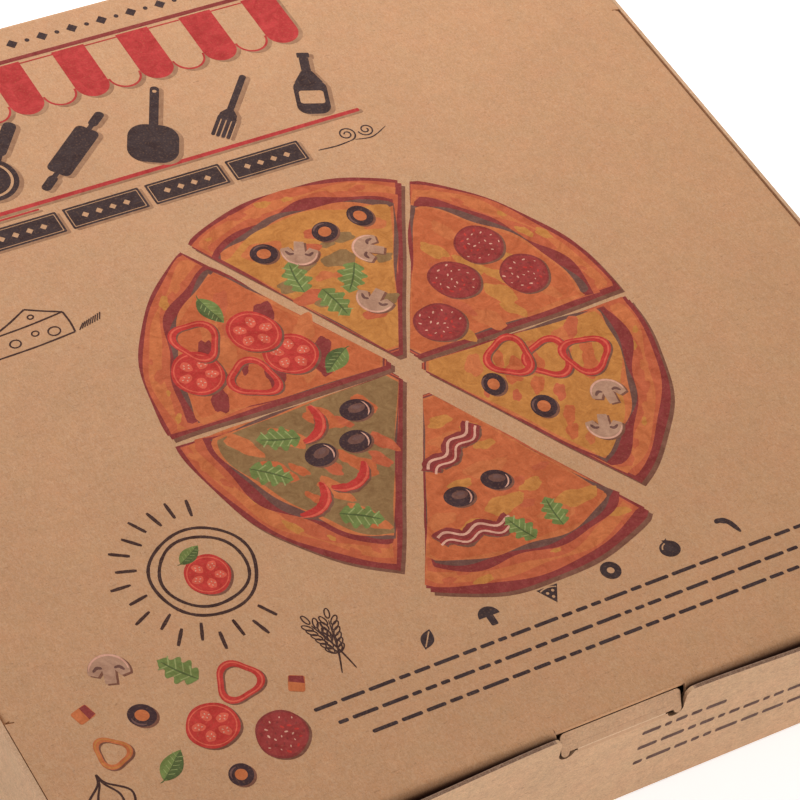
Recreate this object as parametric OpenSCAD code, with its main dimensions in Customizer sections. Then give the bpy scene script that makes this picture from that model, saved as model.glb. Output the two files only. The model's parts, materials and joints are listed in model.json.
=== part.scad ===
// Pizza box folded from one sheet of thin corrugated kraft board, lying closed on its base.
// The front is at -Y, the lid folds at the back, and the origin is below the middle of the box.

/* [Box] */
// Outside width, from side wall to side wall
box_w = 310; // [260:1:420]
// Outside depth, from front wall to back wall
box_d = 310; // [260:1:420]
// Outside height of the closed box
box_h = 44; // [38:0.5:60]

/* [Board] */
// Thickness of the corrugated board
board_t = 1.2; // [0.8:0.1:1.5]
// Outer radius of the folds between base, walls and ears
base_fold_r = 1.6; // [1.5:0.1:2.4]
// How far the cut top edges of the walls lie below the top of the lid
wall_drop = 0.2; // [0:0.1:1]
// How far the front wall bulges forward on each side of the lock tab
bow_out = 2; // [0.5:0.1:4]

/* [Corner ears] */
// Length of the ears that are glued inside the side walls
ear_l = 56; // [30:1:58]
// Gap between the ears and the lid that lies over them
ear_gap = 0.25; // [0.1:0.05:1]
// Gap between the lower edge of an ear and the base
ear_lift = 0.8; // [0.5:0.1:3]

/* [Lid] */
// Gap between the edges of the lid and the walls around it
lid_gap = 0.25; // [0.15:0.05:0.6]
// Outer radius of the rear fold of the lid
lid_fold_r = 2; // [1.7:0.1:3]
// Outer radius of the soft front fold of the lid
front_fold_r = 3.5; // [2:0.1:4]
// Outer radius of the side folds of the lid
side_fold_r = 1.6; // [1.5:0.1:2.4]
// Half of the angle left open between the two parts of the rear fold
hinge_relief = 2; // [1:0.5:6]

/* [Front tuck flap] */
// Height of the front tuck flap below its fold
front_flap_h = 33.5; // [20:0.5:34.5]
// Angle by which the front tuck flap leans into the box
front_flap_lean = 4; // [4:0.5:8]
// Distance from the end of the front tuck flap to the side edge of the lid
front_flap_inset = 4; // [2:0.5:12]
// Radius of the lower corners of the front tuck flap
front_flap_corner_r = 14; // [4:1:18]

/* [Side tuck flaps] */
// Distance from the front or back face of the box to the slits beside the side tuck flaps
side_flap_start = 66; // [64:0.5:90]
// Height of the side tuck flaps below their folds
side_flap_h = 34; // [15:0.5:35]
// Angle by which the side tuck flaps lean into the box
side_flap_lean = 2; // [1:0.5:8]
// Length by which each end of a side tuck flap tapers
side_flap_taper = 9; // [2:0.5:20]
// Width of the relief slits at the ends of the side tuck flaps
slit_w = 0.35; // [0.2:0.05:0.8]
// Length of the relief slits, measured in from the side edge of the lid
slit_l = 2.6; // [2.5:0.1:6]
// Sideways drift of each relief slit towards the nearer end of the lid
slit_drift = 0.7; // [0:0.1:2]

/* [Lock tab] */
// Width of the notch in the front wall that the lock tab was cut from
notch_w = 40.6; // [30:0.2:70]
// Depth of the tab's crease below the top edge of the front wall
crease_drop = 7; // [6:0.1:10]
// Angle by which the lock tab is pushed in from the vertical
tab_lean = 28; // [15:1:35]
// Width of the cut along each side of the lock tab
tab_cut = 0.7; // [0.2:0.05:0.8]
// Radius of the corners where the notch meets the top edge of the front wall
notch_corner_r = 2.5; // [1:0.1:4]
// Radius of the upper corners of the lock tab
tab_corner_r = 1.5; // [0.5:0.1:3]
// Radius of the hooked relief cuts at the ends of the crease
hook_r = 2.6; // [2.2:0.1:3.5]
// Radius of the round lobes of the lock tab that lie in the hooked cuts
lobe_r = 1.3; // [1:0.1:1.8]
// Gap between the round lower edge of the lock tab and its seat in the wall
crease_gap = 0.1; // [0.05:0.05:0.3]
// Gap between the tip of the lock tab and the underside of the lid
tip_gap = 0.35; // [0.2:0.05:1]
// How far the cut edge of the lid stays behind the tip of the lock tab
tip_show = 0.15; // [0.1:0.05:1]
// Extra width of the thumb notch in the front tuck flap beside the lock tab
thumb_side = 0.7; // [0.5:0.1:10]
// Radius of the pressed upper rim of the lid in the thumb notch
rim_r = 0.7; // [0.2:0.1:0.8]

/* [Hidden] */
$fn = 64;

// Columns and rows of flat faces in each bulging half of the front wall
bow_cols = 24;
bow_rows = 6;
// Shape of the bulge along the wall and up the wall
bow_side_power = 1.4;
bow_rise_power = 1.5;
// Flat stretch of front wall kept beside the notch
flat_side = 1.5;
// Angle at which the rear fold is divided between tray and lid
fold_split = 45;

half_w = box_w / 2;
front_y = (bow_out - box_d) / 2;
back_y = (bow_out + box_d) / 2;
wall_top = box_h - wall_drop;
lid_under = box_h - board_t;
ear_top = lid_under - ear_gap;

// The front and back walls run between the side walls and turn into the ears
wall_half = half_w - board_t - base_fold_r;
corner_bottom = base_fold_r + ear_lift;

// The lid's panel
lid_half = half_w - board_t - lid_gap;
lid_front = front_y + board_t + lid_gap;
fold_front_y = lid_front + front_fold_r;
front_fold_z = box_h - front_fold_r;
fold_back_y = back_y - lid_fold_r;
lid_fold_z = box_h - lid_fold_r;
side_fold_z = box_h - side_fold_r;
front_flap_half = lid_half - front_flap_inset;
side_flap_front = front_y + side_flap_start;
side_flap_back = back_y - side_flap_start;

// The notch, the tab and the lid's edge behind it
notch_half = notch_w / 2;
crease_y = front_y + board_t / 2;
crease_z = wall_top - crease_drop;
tab_half = notch_half - tab_cut;
tab_len = (lid_under - tip_gap - crease_z - board_t / 2 * sin(tab_lean)) / cos(tab_lean);
tip_y = crease_y + tab_len * sin(tab_lean) - board_t / 2 * cos(tab_lean);
thumb_half = notch_half + thumb_side;
thumb_edge_y = tip_y + tip_show;
crease_half = notch_half - 2 * hook_r;
flat_half = notch_half + notch_corner_r + flat_side;

// A corner of the section outside which nothing of a fold reaches
function reach(r, a) = 3 * r * [cos(a), sin(a)];

// Section of a folded board between two angles, with its outer face at radius r
module fold_section(r, a0, a1) {
    intersection() {
        difference() {
            circle(r);
            circle(r - board_t);
        }
        polygon([[0, 0], reach(r, a0), reach(r, (a0 + a1) / 2), reach(r, a1)]);
    }
}

// Draws a section of the Y-Z plane out along X, the same length to both sides
module along_x(half) {
    translate([-half, 0, 0]) rotate([90, 0, 90]) linear_extrude(2 * half) children();
}

// Draws a section of the X-Z plane out along Y, from y0 to y1
module along_y(y0, y1) {
    translate([0, y1, 0]) rotate([90, 0, 0]) linear_extrude(y1 - y0) children();
}

// A flat piece of board given by its lowest and highest corners
module slab(low, high) {
    translate(low) cube(high - low);
}

// Both of a pair of parts that mirror each other left and right
module both_sides() {
    children();
    mirror([1, 0, 0]) children();
}

// How far the front wall stands forward at a share of its half length and of its height
function bow(along, up) =
    bow_out * pow(sin(180 * along), bow_side_power) * pow(up, bow_rise_power);

// One half of the front wall, bulging between the flat middle and the corner
module bowed_half() {
    columns = bow_cols + 1;
    rows = bow_rows + 1;
    sheet = columns * rows;
    points = [
        for (layer = [0, 1], i = [0:bow_cols], j = [0:bow_rows])
            let (along = i / bow_cols, up = j / bow_rows)
            [
                flat_half + (wall_half - flat_half) * along,
                front_y - bow(along, up) + layer * board_t,
                base_fold_r + (wall_top - base_fold_r) * up
            ]
    ];
    function out_at(i, j) = i * rows + j;
    function in_at(i, j) = sheet + i * rows + j;
    skins = [
        for (i = [0:bow_cols - 1], j = [0:bow_rows - 1]) each [
            [out_at(i, j), out_at(i, j + 1), out_at(i + 1, j + 1)],
            [out_at(i, j), out_at(i + 1, j + 1), out_at(i + 1, j)],
            [in_at(i, j), in_at(i + 1, j + 1), in_at(i, j + 1)],
            [in_at(i, j), in_at(i + 1, j), in_at(i + 1, j + 1)]
        ]
    ];
    long_edges = [
        for (i = [0:bow_cols - 1]) each [
            [out_at(i, bow_rows), in_at(i, bow_rows), in_at(i + 1, bow_rows)],
            [out_at(i, bow_rows), in_at(i + 1, bow_rows), out_at(i + 1, bow_rows)],
            [out_at(i, 0), in_at(i + 1, 0), in_at(i, 0)],
            [out_at(i, 0), out_at(i + 1, 0), in_at(i + 1, 0)]
        ]
    ];
    ends = [
        for (j = [0:bow_rows - 1]) each [
            [in_at(0, j), in_at(0, j + 1), out_at(0, j + 1)],
            [in_at(0, j), out_at(0, j + 1), out_at(0, j)],
            [out_at(bow_cols, j), out_at(bow_cols, j + 1), in_at(bow_cols, j + 1)],
            [out_at(bow_cols, j), in_at(bow_cols, j + 1), in_at(bow_cols, j)]
        ]
    ];
    polyhedron(points = points, faces = concat(skins, long_edges, ends));
}

// Outline of the notch in the front wall, with its rounded mouth and hooked ends
module notch_outline() {
    translate([-notch_half, crease_z]) square([notch_w, crease_drop + 1]);
    for (side = [-1, 1]) {
        translate([side * (notch_half - hook_r), crease_z]) circle(hook_r);
        difference() {
            translate([side * (notch_half + notch_corner_r / 2), wall_top])
                square([notch_corner_r, 2 * notch_corner_r], center = true);
            translate([side * (notch_half + notch_corner_r), wall_top - notch_corner_r])
                circle(notch_corner_r);
        }
    }
}

// Flat middle of the front wall, where the lock tab was cut free and folded in
module notched_middle() {
    difference() {
        slab([-flat_half, front_y, base_fold_r], [flat_half, front_y + board_t, wall_top]);
        along_y(front_y - 1, front_y + board_t + 1) notch_outline();
        translate([-notch_half, crease_y, crease_z])
            rotate([0, 90, 0]) cylinder(h = notch_w, r = board_t / 2 + crease_gap);
    }
}

// Section of the fold between the base and the front wall
module base_fold_section() {
    fold_section(base_fold_r, 180, 270);
}

module front_wall() {
    along_x(wall_half) translate([front_y + base_fold_r, base_fold_r]) base_fold_section();
    notched_middle();
    both_sides() bowed_half();
}

// Back wall, ending in the lower half of the rear fold
module back_wall() {
    along_x(wall_half) {
        translate([back_y - base_fold_r, base_fold_r]) mirror([1, 0]) base_fold_section();
        translate([back_y - board_t, base_fold_r]) square([board_t, lid_fold_z - base_fold_r]);
        translate([fold_back_y, lid_fold_z]) fold_section(lid_fold_r, 0, fold_split - hinge_relief);
    }
}

// Right side wall, with its cut front and rear edges beside the corners
module side_wall() {
    slab([half_w - board_t, front_y + board_t / 2, base_fold_r],
         [half_w, back_y - board_t / 2, wall_top]);
    along_y(front_y + base_fold_r, back_y - base_fold_r)
        translate([half_w - base_fold_r, base_fold_r]) mirror([1, 0]) base_fold_section();
}

// Ear at the right front corner: the front wall turns back and is glued to the side wall
module front_ear() {
    translate([wall_half, front_y + base_fold_r, corner_bottom])
        linear_extrude(ear_top - corner_bottom) fold_section(base_fold_r, 270, 360);
    slab([half_w - 2 * board_t, front_y + base_fold_r, corner_bottom],
         [half_w - board_t, front_y + base_fold_r + ear_l, ear_top]);
}

// Ear at the right rear corner, the same as the front one
module back_ear() {
    translate([0, front_y + back_y, 0]) mirror([0, 1, 0]) front_ear();
}

module tray() {
    color([0.76, 0.60, 0.46]) {
        slab([-half_w + base_fold_r, front_y + base_fold_r, 0],
             [half_w - base_fold_r, back_y - base_fold_r, board_t]);
        front_wall();
        back_wall();
        both_sides() {
            side_wall();
            front_ear();
            back_ear();
        }
    }
}

// Slanting relief slit at the front end of the right side tuck flap
module relief_slit() {
    inner = lid_half - slit_l;
    y = side_flap_front;
    translate([0, 0, lid_under - 1]) linear_extrude(board_t + 2)
        polygon([
            [lid_half + 1, y],
            [inner, y - slit_drift],
            [inner, y - slit_drift - slit_w],
            [lid_half + 1, y - slit_w]
        ]);
}

// Panel of the lid, with bare cut edges over the ears and a thumb notch at the front
module lid_panel() {
    difference() {
        slab([-lid_half, thumb_edge_y, lid_under], [lid_half, fold_back_y, box_h]);
        both_sides() {
            slab([thumb_half, thumb_edge_y - 1, lid_under - 1],
                 [lid_half + 1, fold_front_y, box_h + 1]);
            slab([lid_half - side_fold_r, side_flap_front - slit_w, lid_under - 1],
                 [lid_half + 1, side_flap_back + slit_w, box_h + 1]);
            relief_slit();
            translate([0, front_y + back_y, 0]) mirror([0, 1, 0]) relief_slit();
        }
        pressed_rim();
    }
}

// What is pressed away from the upper rim of the lid in the thumb notch
module pressed_rim() {
    along_x(thumb_half) difference() {
        translate([thumb_edge_y - 1, box_h - rim_r]) square([rim_r + 1, rim_r + 1]);
        translate([thumb_edge_y + rim_r, box_h - rim_r]) circle(rim_r);
    }
}

// Section of a flap that hangs straight on from its fold and leans in, towards +X of the section
module flap_section(outer, top, height, lean) {
    shift = (height + 1) * tan(lean);
    polygon([
        [outer, top],
        [outer + board_t, top],
        [outer + board_t + shift, top - height - 1],
        [outer + shift, top - height - 1]
    ]);
}

// Outline of the front tuck flap and its fold, with the thumb notch behind the lock tab
module front_flap_outline() {
    r = front_flap_corner_r;
    bottom = front_fold_z - front_flap_h;
    difference() {
        union() {
            translate([-front_flap_half, bottom + r])
                square([2 * front_flap_half, box_h + 1 - bottom - r]);
            translate([r - front_flap_half, bottom]) square([2 * (front_flap_half - r), 2 * r]);
            for (side = [-1, 1])
                translate([side * (front_flap_half - r), bottom + r]) circle(r);
        }
        translate([-thumb_half, bottom - 1]) square([2 * thumb_half, box_h + 3 - bottom]);
    }
}

// Front fold and tuck flap, in two parts beside the thumb notch
module front_flap() {
    intersection() {
        along_x(lid_half) {
            translate([fold_front_y, front_fold_z]) fold_section(front_fold_r, 90, 180);
            flap_section(lid_front, front_fold_z, front_flap_h, front_flap_lean);
        }
        along_y(lid_front - 1, lid_front + front_flap_h) front_flap_outline();
    }
}

// Outline of a side tuck flap and its fold, tapering downwards
module side_flap_outline() {
    bottom = side_fold_z - side_flap_h;
    polygon([
        [side_flap_front, box_h + 1],
        [side_flap_front, side_fold_z],
        [side_flap_front + side_flap_taper, bottom],
        [side_flap_back - side_flap_taper, bottom],
        [side_flap_back, side_fold_z],
        [side_flap_back, box_h + 1]
    ]);
}

// Left side fold and tuck flap
module side_flap() {
    intersection() {
        along_y(side_flap_front - 1, side_flap_back + 1) {
            translate([side_fold_r - lid_half, side_fold_z]) fold_section(side_fold_r, 90, 180);
            flap_section(-lid_half, side_fold_z, side_flap_h, side_flap_lean);
        }
        along_x(half_w) side_flap_outline();
    }
}

// Upper half of the rear fold, which turns about the outer face of the board
module rear_fold() {
    along_x(wall_half) translate([fold_back_y, lid_fold_z])
        fold_section(lid_fold_r, fold_split + hinge_relief, 90);
}

module lid() {
    color([0.77, 0.58, 0.42]) {
        lid_panel();
        front_flap();
        rear_fold();
        both_sides() side_flap();
    }
}

// Outline of the lock tab above its crease, with the lobes that lie in the hooked cuts
module tab_outline() {
    r = tab_corner_r;
    translate([-tab_half, 0]) square([2 * tab_half, tab_len - r]);
    translate([r - tab_half, 0]) square([2 * (tab_half - r), tab_len]);
    for (side = [-1, 1]) {
        translate([side * (tab_half - r), tab_len - r]) circle(r);
        translate([side * (tab_half - lobe_r), 0]) circle(lobe_r);
    }
}

module lock_tab() {
    color([0.72, 0.55, 0.41])
        translate([0, crease_y, crease_z]) rotate([-tab_lean, 0, 0]) {
            along_y(-board_t / 2, board_t / 2) tab_outline();
            translate([-crease_half + tab_cut, 0, 0])
                rotate([0, 90, 0]) cylinder(h = 2 * (crease_half - tab_cut), r = board_t / 2);
        }
}

tray();
lid();
lock_tab();
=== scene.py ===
"""Dresses a folded pizza box: kraft board, cut edges, crease liners, a printed lid and a studio stage."""

import json
import math
import random

import bpy
import numpy as np
from bpy.props import FloatProperty, FloatVectorProperty, IntProperty, PointerProperty
from mathutils import Matrix, Vector
from mathutils.bvhtree import BVHTree
from mathutils.geometry import delaunay_2d_cdt


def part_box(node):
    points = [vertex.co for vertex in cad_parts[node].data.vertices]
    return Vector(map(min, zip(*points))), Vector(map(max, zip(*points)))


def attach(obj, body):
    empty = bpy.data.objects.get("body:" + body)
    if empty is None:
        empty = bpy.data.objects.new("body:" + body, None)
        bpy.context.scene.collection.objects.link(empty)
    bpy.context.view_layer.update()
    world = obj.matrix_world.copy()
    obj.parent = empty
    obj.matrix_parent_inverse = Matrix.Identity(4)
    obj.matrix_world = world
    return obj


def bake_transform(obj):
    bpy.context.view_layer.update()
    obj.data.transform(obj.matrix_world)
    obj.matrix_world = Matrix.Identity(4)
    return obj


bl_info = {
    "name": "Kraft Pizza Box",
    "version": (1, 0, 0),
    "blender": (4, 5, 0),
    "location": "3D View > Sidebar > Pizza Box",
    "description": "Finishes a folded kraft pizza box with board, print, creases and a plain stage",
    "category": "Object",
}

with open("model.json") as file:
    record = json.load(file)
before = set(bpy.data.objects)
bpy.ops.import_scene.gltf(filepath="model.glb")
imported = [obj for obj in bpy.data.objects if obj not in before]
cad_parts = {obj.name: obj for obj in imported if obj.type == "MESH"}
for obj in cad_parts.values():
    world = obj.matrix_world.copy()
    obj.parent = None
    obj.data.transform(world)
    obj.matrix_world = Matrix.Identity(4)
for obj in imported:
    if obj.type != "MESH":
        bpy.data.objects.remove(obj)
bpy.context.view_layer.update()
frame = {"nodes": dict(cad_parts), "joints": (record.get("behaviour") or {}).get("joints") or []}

MM = 0.001

TRAY_LOW, TRAY_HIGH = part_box("tray")
_, LID_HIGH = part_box("lid")
_, TAB_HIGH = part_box("lock_tab")
JOINTS = {joint["name"]: joint for joint in frame["joints"]}
LID_HINGE = Vector(JOINTS["lid_fold"]["pos_m"])
TAB_HINGE = Vector(JOINTS["tab_fold"]["pos_m"])
LID_TOP = LID_HIGH.z
WALL_TOP = TRAY_HIGH.z

# Thickness of the board, which is twice the distance from the front face to the tab's crease
BOARD_T = 1.2 * MM
FRONT_FACE = TAB_HINGE.y - BOARD_T / 2
# How far a printed film or a liner lies proud of the board
FILM = 0.04 * MM
# Angle by which the lock tab is pushed in from the vertical
TAB_LEAN = math.radians(28)
# The cut edge: depths between which the two liners leave it open, thickness of the waved layer
# there, and distances from the middle of the box between which the front wall's edge is straight
HOLLOW = (0.2 * MM, 1.02 * MM)
MEDIUM_T = 0.14 * MM
FRONT_EDGE = (23.2 * MM, 151.5 * MM)
# The lock tab's crease: steps of its bend and half of its length
CREASE_STEPS = 6
CREASE_HALF = 14.3 * MM
# Share of the gaps' deep shade that shows along the lock tab
TAB_SHADE = 0.75
# Reach of the deep shade in gaps, and the shares of open sky between which it fades
GAP_REACH = 5 * MM
GAP_FADE = (0.3, 0.93)
# Strength of the fibres' tone on the walls and on the lid
WALL_TEXTURE = 2.2
LID_TEXTURE = 1.3
# The rear fold: outer radius, middle of its ring and half of its length
REAR_FOLD_R = 2 * MM
REAR_RING = LID_HINGE - Vector((0, 1, 1)) * REAR_FOLD_R * math.sqrt(0.5)
REAR_HALF = 152.2 * MM

# The camera, solved from the straight edges of the box
CAMERA_PLACE = Vector((-0.4042, -0.5345, 0.7461))
CAMERA_RIGHT = Vector((0.85788, -0.49482, 0.13855))
CAMERA_UP = Vector((0.29103, 0.69009, 0.66263))
CAMERA_LENS = 148.4
# The lamps: places, edge of the key lamp, and width and height of the low lamps
KEY_PLACE = (0.13, 0.58, 0.5)
FRONT_PLACE = (0.12, -1.1, 0.06)
SIDE_PLACE = (-1.1, -0.1, 0.06)
KEY_SIZE = 0.6
LOW_LAMP = (0.9, 0.12)
# Power of the side lamp as a share of the front lamp's, and the floor's own light to the camera
SIDE_SHARE = 0.62
FLOOR_GLOW = 0.62
# Half of the floor's edge, and how far it lies under the box
FLOOR_REACH = 6
FLOOR_DROP = 0.02 * MM


def srgb(red, green, blue):
    """A colour given from 0 to 255, as Blender's linear values."""
    def linear(value):
        share = value / 255
        return share / 12.92 if share <= 0.04045 else ((share + 0.055) / 1.055) ** 2.4
    return tuple(linear(value) for value in (red, green, blue))


def colour_property(name, description, red, green, blue):
    return FloatVectorProperty(
        name=name, description=description, subtype="COLOR", size=3, min=0, max=1,
        default=srgb(red, green, blue),
    )


def length_property(name, description, default):
    return FloatProperty(name=name, description=description, default=default, min=0, unit="LENGTH")


class BoardSettings(bpy.types.PropertyGroup):
    """Colours and sizes of the kraft board."""

    # Painted light: lid, tray and lock tab are one board, and their base colours differ for how light falls
    # on them: the tray lighter and greyer, the lid darker and more saturated, the lock tab in between
    lid: colour_property("Lid", "Outer liner of the lid", 190, 138, 96)
    tray: colour_property("Tray", "Liner of the walls and the base", 198, 156, 120)
    tab: colour_property("Lock tab", "Liner of the lock tab", 190, 146, 110)
    cut_edge: colour_property("Cut edge", "Raw die-cut edge of the board", 146, 108, 84)
    # Painted shade: a dark sheet over the hollows of the cut edge
    flute: colour_property("Flute", "Shaded hollows between the flutes", 112, 77, 56)
    # Painted shade: deep brown mixed into the narrow gaps at the front rim, where ambient occlusion finds
    # them closed
    gap: colour_property("Gaps", "Board deep in a gap or cut", 58, 26, 14)
    fleck: colour_property("Flecks", "Dark fibres in the liner", 128, 84, 52)
    pale_fibre: colour_property("Pale fibres", "Light fibres in the liner", 218, 184, 152)
    # Painted highlight: a lighter copy of the liner along the lock tab's crease
    crease_highlight: colour_property("Crease line", "Stretched liner along a crease", 216, 180, 146)
    flute_pitch: length_property("Flute pitch", "Distance between two flutes", 3.2 * MM)


class InkSettings(bpy.types.PropertyGroup):
    """Inks of the print."""

    dark: colour_property("Dark ink", "Bars, tools and rows", 60, 44, 43)
    faded: colour_property("Faded ink", "Rows on the front wall", 98, 76, 68)
    line: colour_property("Drawing ink", "Hand-drawn lines", 64, 40, 34)
    shade: colour_property("Drop shade", "Soft shade beside bold shapes", 158, 118, 88)
    red: colour_property("Red", "Awning and rules", 178, 54, 52)
    deep_red: colour_property("Deep red", "Sauce and sausage rims", 134, 52, 48)
    crust: colour_property("Crust", "Baked rim", 186, 92, 58)
    crust_light: colour_property("Light crust", "Lit top of the baked rim", 194, 108, 62)
    crust_side: colour_property("Crust side", "Shaded side of the slices", 122, 78, 60)
    cheese: colour_property("Cheese", "Melted cheese", 190, 98, 56)
    cheese_gold: colour_property("Golden cheese", "Lighter cheese", 190, 124, 60)
    cheese_olive: colour_property("Herbed cheese", "Cheese with herbs", 140, 106, 66)
    sausage: colour_property("Sausage", "Slices of sausage", 150, 54, 50)
    fat: colour_property("Fat flecks", "Light flecks in the sausage", 214, 160, 136)
    olive: colour_property("Olive", "Olives", 62, 40, 42)
    olive_light: colour_property("Olive shine", "Lit side of the olives", 108, 76, 70)
    leaf: colour_property("Leaf", "Leaves", 112, 126, 66)
    leaf_light: colour_property("Leaf light", "Lit veins of leaves", 148, 156, 96)
    leaf_dark: colour_property("Leaf shade", "Veins and shaded halves of leaves", 82, 94, 50)
    tomato: colour_property("Tomato", "Slices of tomato and pepper", 186, 54, 46)
    tomato_light: colour_property("Tomato flesh", "Lit flesh of the tomato", 212, 92, 70)
    mushroom: colour_property("Mushroom", "Slices of mushroom", 176, 134, 108)
    mushroom_dark: colour_property("Mushroom gills", "Gills of the mushroom", 108, 72, 62)


class PrintSettings(bpy.types.PropertyGroup):
    """Sizes of the printed design."""

    pizza_x: length_property("Pizza across", "Middle of the pizza to the right of the middle", 8 * MM)
    pizza_y: FloatProperty(
        name="Pizza along", description="Middle of the pizza behind the middle of the box",
        default=-19 * MM, unit="LENGTH",
    )
    pizza_radius: length_property("Pizza radius", "Radius of the printed pizza", 77 * MM)
    slices: IntProperty(name="Slices", description="Slices of the pizza", default=6, min=4, max=12)


class StageSettings(bpy.types.PropertyGroup):
    """Lamps and background."""

    background: colour_property("Background", "Floor and surroundings", 255, 255, 255)
    ambient: FloatProperty(name="Ambient", description="Strength of the surroundings", default=0.46, min=0)
    key: FloatProperty(
        name="Key lamp", description="Power of the large lamp behind the box", default=5.2, min=0,
        unit="POWER",
    )
    fill: FloatProperty(
        name="Fill lamp", description="Power of the lamp in front of the box", default=4.3, min=0,
        unit="POWER",
    )


# Building blocks for nodes and meshes

def add_node(tree, kind, inputs=None, **settings):
    """Adds a node, sets its options and sets or links its inputs."""
    node = tree.nodes.new(kind)
    for name, value in settings.items():
        setattr(node, name, value)
    for key, value in (inputs or {}).items():
        if isinstance(value, bpy.types.NodeSocket):
            tree.links.new(value, node.inputs[key])
        else:
            node.inputs[key].default_value = value
    return node


def calc(tree, operation, *values):
    """A math node's result."""
    return add_node(tree, "ShaderNodeMath", dict(enumerate(values)), operation=operation).outputs[0]


def remap(tree, value, low, high, to_low, to_high, smooth=False):
    """Carries a value from one range to another."""
    inputs = {"Value": value, "From Min": low, "From Max": high, "To Min": to_low, "To Max": to_high}
    kind = "SMOOTHSTEP" if smooth else "LINEAR"
    return add_node(tree, "ShaderNodeMapRange", inputs, interpolation_type=kind).outputs["Result"]


def mix_colour(tree, share, first, second):
    """A mix of two colours, each a socket or three values."""
    first, second = (
        colour if isinstance(colour, bpy.types.NodeSocket) else (*colour, 1) for colour in (first, second)
    )
    return add_node(tree, "ShaderNodeMix", {0: share, 6: first, 7: second}, data_type="RGBA").outputs[2]


def new_group(name, inputs, outputs):
    """An empty node group and its input and output nodes."""
    tree = bpy.data.node_groups.new(name, "ShaderNodeTree")
    for direction, sockets in (("INPUT", inputs), ("OUTPUT", outputs)):
        for label, kind in sockets:
            tree.interface.new_socket(label, in_out=direction, socket_type=kind)
    return tree, tree.nodes.new("NodeGroupInput"), tree.nodes.new("NodeGroupOutput")


def noise(tree, place, scale, detail=2, roughness=0.5, stretch=(1, 1, 1), turn=0.0, curl=0.0):
    """Noise at a place, drawn out along X and Y, turned about Z by some degrees and curled."""
    drawn_out = {"Vector": place, "Rotation": (0, 0, math.radians(turn)), "Scale": stretch}
    mapping = add_node(tree, "ShaderNodeMapping", drawn_out)
    inputs = {
        "Vector": mapping.outputs[0], "Scale": scale, "Detail": detail, "Roughness": roughness,
        "Distortion": curl,
    }
    return add_node(tree, "ShaderNodeTexNoise", inputs).outputs["Fac"]


def kraft_liner_group():
    """Fibres, flecks and soft mottling of kraft liner, the same in every material."""
    labels = ("Shade", "Flecks", "Pale fibres", "Warmth", "Height")
    tree, _, result = new_group("Kraft liner", [], [(label, "NodeSocketFloat") for label in labels])
    place = tree.nodes.new("ShaderNodeTexCoord").outputs["Object"]
    mottle = noise(tree, place, scale=42, detail=3)
    cloud = noise(tree, place, scale=260, detail=4, roughness=0.6)
    grain = noise(tree, place, scale=1700)
    fibres = noise(tree, place, 1300, roughness=0.6, stretch=(0.4, 1, 1), turn=8, curl=1.6)
    cross_fibres = noise(tree, place, 1200, roughness=0.6, stretch=(1, 0.42, 1), turn=-12, curl=1.8)
    strands = noise(tree, place, 1250, roughness=0.55, stretch=(0.3, 1.2, 1), turn=31, curl=1.2)
    pale = noise(tree, place, 1000, roughness=0.6, stretch=(1.1, 0.5, 1), turn=40, curl=2.2)
    specks = noise(tree, place, scale=1700, detail=1)
    warm = noise(tree, place, scale=120, detail=3)
    shade = 1.0
    shading = ((mottle, 0.022), (cloud, 0.03), (grain, 0.035), (fibres, 0.05), (cross_fibres, 0.04))
    for part, strength in shading:
        shade = calc(tree, "ADD", shade, remap(tree, part, 0.3, 0.7, -strength, strength))
    dark_specks = remap(tree, specks, 0.66, 0.75, 0, 1, smooth=True)
    dark_strands = remap(tree, strands, 0.64, 0.74, 0, 0.9, smooth=True)
    height = 0.0
    for part, strength in ((fibres, 0.6), (cross_fibres, 0.5), (grain, 0.4), (cloud, 0.8), (pale, 0.4)):
        height = calc(tree, "ADD", height, calc(tree, "MULTIPLY", part, strength))
    results = (
        shade, calc(tree, "MAXIMUM", dark_specks, dark_strands), remap(tree, pale, 0.4, 0.75, 0, 1),
        remap(tree, warm, 0.25, 0.75, 0, 1), height,
    )
    for label, value in zip(labels, results):
        tree.links.new(value, result.inputs[label])
    return tree


def liner_nodes(tree):
    """The kraft liner group, made once, inside a material."""
    group = bpy.data.node_groups.get("Kraft liner") or kraft_liner_group()
    return add_node(tree, "ShaderNodeGroup", node_tree=group).outputs


def kraft_colour(tree, base, fibres, texture):
    """Colour of kraft liner: a base colour with mottling, warm and cool patches and dark flecks."""
    board = bpy.context.scene.pizza_board
    warm = tuple(value * factor for value, factor in zip(base, (1.03, 0.985, 0.97)))
    cool = tuple(value * factor for value, factor in zip(base, (0.975, 1.005, 0.985)))
    toned = mix_colour(tree, fibres["Warmth"], cool, warm)
    pale_share = calc(tree, "MULTIPLY", fibres["Pale fibres"], 0.3)
    pale = mix_colour(tree, pale_share, toned, tuple(board.pale_fibre))
    fleck_share = calc(tree, "MULTIPLY", fibres["Flecks"], 0.42)
    flecked = mix_colour(tree, fleck_share, pale, tuple(board.fleck))
    shade = calc(tree, "MULTIPLY_ADD", calc(tree, "SUBTRACT", fibres["Shade"], 1), texture, 1)
    scale = add_node(tree, "ShaderNodeVectorMath", {0: flecked, 3: shade}, operation="SCALE")
    return scale.outputs[0]


def new_material(name):
    """A material with an empty node tree, its shader and its output."""
    material = bpy.data.materials.new(name)
    material.use_nodes = True
    tree = material.node_tree
    tree.nodes.clear()
    shader = add_node(tree, "ShaderNodeBsdfPrincipled")
    output = add_node(tree, "ShaderNodeOutputMaterial")
    tree.links.new(shader.outputs[0], output.inputs["Surface"])
    return material, tree, shader


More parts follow.
